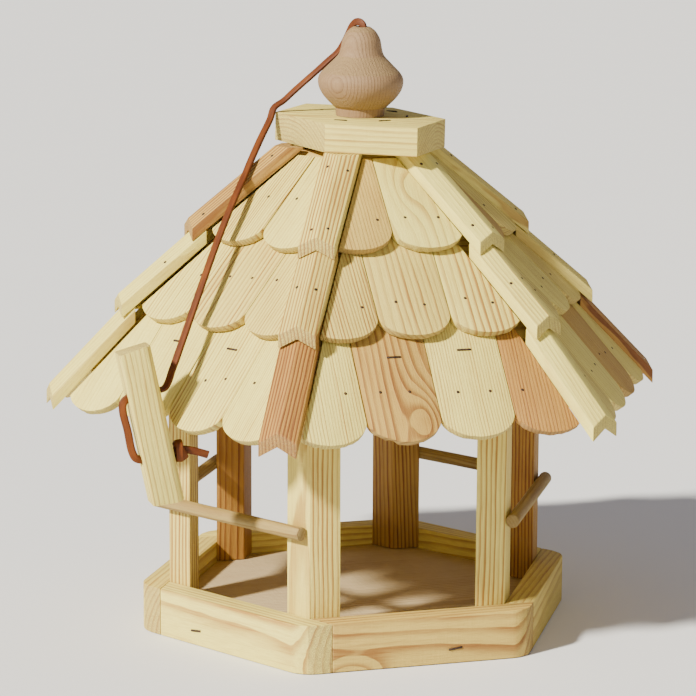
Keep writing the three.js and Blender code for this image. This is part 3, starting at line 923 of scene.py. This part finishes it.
def nail_head(place, normal, rnd):
    side = normal.orthogonal().normalized()
    other = normal.cross(side)
    verts, count = [], 10
    for radius, height in ((1.2, -0.8), (1.2, 0.1), (0.9, 0.3), (0.3, 0.38)):
        stretch = rnd.uniform(0.9, 1.1)
        for j in range(count):
            a = 2 * math.pi * j / count
            spoke = side * math.cos(a) * stretch + other * math.sin(a)
            verts.append(place + spoke * radius * MM + normal * height * MM)
    faces = [tuple(reversed(range(count))), tuple(range(3 * count, 4 * count))]
    for k in range(3):
        for j in range(count):
            i = (j + 1) % count
            faces.append((k * count + j, k * count + i, (k + 1) * count + i, (k + 1) * count + j))
    return verts, faces


STAPLE_CROWN = 10.6
# place along the crown, height and radius of the rings of one staple
STAPLE_RINGS = (
    (-0.5, -0.9, 0.6), (-0.49, -0.1, 0.8), (-0.44, 0.2, 0.85),
    (0.44, 0.2, 0.85), (0.49, -0.1, 0.8), (0.5, -0.9, 0.6),
)


def staple(place, normal, along):
    """A staple's crown, sunk to its middle, with rounded shoulders."""
    across = normal.cross(along).normalized()
    verts, faces, sides = [], [], 8
    for s, h, r in STAPLE_RINGS:
        for j in range(sides):
            a = 2 * math.pi * j / sides
            spoke = across * math.cos(a) * r + normal * (h + math.sin(a) * r * 0.7)
            verts.append(place + (along * s * STAPLE_CROWN + spoke) * MM)
    for k in range(len(STAPLE_RINGS) - 1):
        for j in range(sides):
            i = (j + 1) % sides
            faces.append((k * sides + j, k * sides + i, (k + 1) * sides + i, (k + 1) * sides + j))
    faces += [tuple(reversed(range(sides))), tuple(range(5 * sides, 6 * sides))]
    return verts, faces


# ---------- floor and light ----------
FLOOR_HALF, FLOOR_DROP = 40.0, 0.5 * MM
WORLD_COLOUR, WORLD_STRENGTH = (1, 0.95, 1, 1), 0.32
SUN_COLOUR, SUN_STRENGTH, SUN_SPREAD = (1.0, 0.96, 0.86), 9.8, math.radians(5)
SUN_AZIMUTH, SUN_ELEVATION = -156, math.radians(38)
FILL_COLOUR, FILL_WATTS, FILL_SIZE = (1.0, 0.985, 0.96), 7, 1.6
FILL_PLACE = (-0.1, -2.6, 0.9)


def studio():
    mesh = bpy.data.meshes.new("floor")
    size = FLOOR_HALF
    corners = [(-size, -size, 0), (size, -size, 0), (size, size, 0), (-size, size, 0)]
    mesh.from_pydata(corners, [], [(0, 1, 2, 3)])
    floor = bpy.data.objects.new("floor", mesh)
    floor.location.z = -FLOOR_DROP
    bpy.context.collection.objects.link(floor)
    n = Nodes("studio_floor")
    place = n.tree.nodes.new("ShaderNodeTexCoord").outputs["Object"]
    shade = n.noise(place, (3, 3, 3), 2)
    mesh.materials.append(n.finish(n.mix(shade, (0.77, 0.77, 0.765), (0.79, 0.79, 0.785)), 0.85))
    world = bpy.data.worlds.new("studio")
    bpy.context.scene.world = world
    world.use_nodes = True
    background = world.node_tree.nodes["Background"].inputs
    background[0].default_value = WORLD_COLOUR
    background[1].default_value = WORLD_STRENGTH

    def aim(light, place):
        light.location = place
        light.rotation_euler = (Vector((0, 0, 0.2)) - Vector(place)).to_track_quat("-Z", "Y").to_euler()
        bpy.context.collection.objects.link(light)

    key = bpy.data.lights.new("key", "SUN")
    key.energy = SUN_STRENGTH
    key.angle = SUN_SPREAD
    key.color = SUN_COLOUR
    sun = bpy.data.objects.new("key", key)
    aim(sun, (direction(SUN_AZIMUTH) * math.cos(SUN_ELEVATION) + UP * math.sin(SUN_ELEVATION)) * 3)
    fill = bpy.data.lights.new("fill", "AREA")
    fill.energy = FILL_WATTS
    fill.size = FILL_SIZE
    fill.color = FILL_COLOUR
    aim(bpy.data.objects.new("fill", fill), FILL_PLACE)


place_camera()
hanging_lace()
toggle_lace()
for tier in COUNT:
    for side in SIDES:
        shingle_row(tier, side)
    for corner in CORNERS:
        hip_cap(tier, corner)
for side in SIDES:
    rim_board(side)
for corner in CORNERS:
    post(corner)
for side in ("left_front", "right_front", "right_back", "left_back"):
    perch(side)
plain_board("floor_panel", Vector((1, 0, 0)), Y, (0.3, 0.45, 3.6, (60, 12)))
plain_board("roof_plate", Vector((1, 0, 0)), Y, (0.5, 0.5, 4.5, (40, 25)))
block_grain, block_across = Vector((0.877, -0.48, 0)), Vector((0.48, 0.877, 0))
plain_board("top_block", block_grain, block_across, (0.1, 0.5, 3.0, (10, 40)), bevel=1.2)
roof_deck()
finial()
toggle_bar()
RIM_FACE, RIM_STAPLE_HEIGHT = 150.1, 11  # the rim's outer face from the middle; above its underside
BLOCK_STAPLE_RADIUS, BLOCK_NAIL_RADIUS = 36, 40  # round the finial
for side, x in (("front", 30), ("left_front", -24)):
    at = direction(SIDES[side]) * RIM_FACE + direction(SIDES[side] + 90) * x + UP * RIM_STAPLE_HEIGHT
    staples.append((at * MM, direction(SIDES[side]), (direction(SIDES[side] + 90) + UP * 0.12).normalized()))
top = max(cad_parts["top_block"].data.polygons, key=lambda face: face.area * face.normal.z)


def on_block(turn, radius):
    at = direction(turn) * radius * MM
    at.z = (top.normal.dot(top.center) - top.normal.dot(at)) / top.normal.z
    return at, top.normal.copy()


nails.append(on_block(120, BLOCK_NAIL_RADIUS))
staples += [(*on_block(turn, BLOCK_STAPLE_RADIUS), direction(turn + 90)) for turn in (-130, -75, -20, 30)]
spread = random.Random(5)
steel_object("nails", [nail_head(place, normal, spread) for place, normal in nails])
steel_object("staples", [staple(place, normal, along) for place, normal, along in staples])
studio()
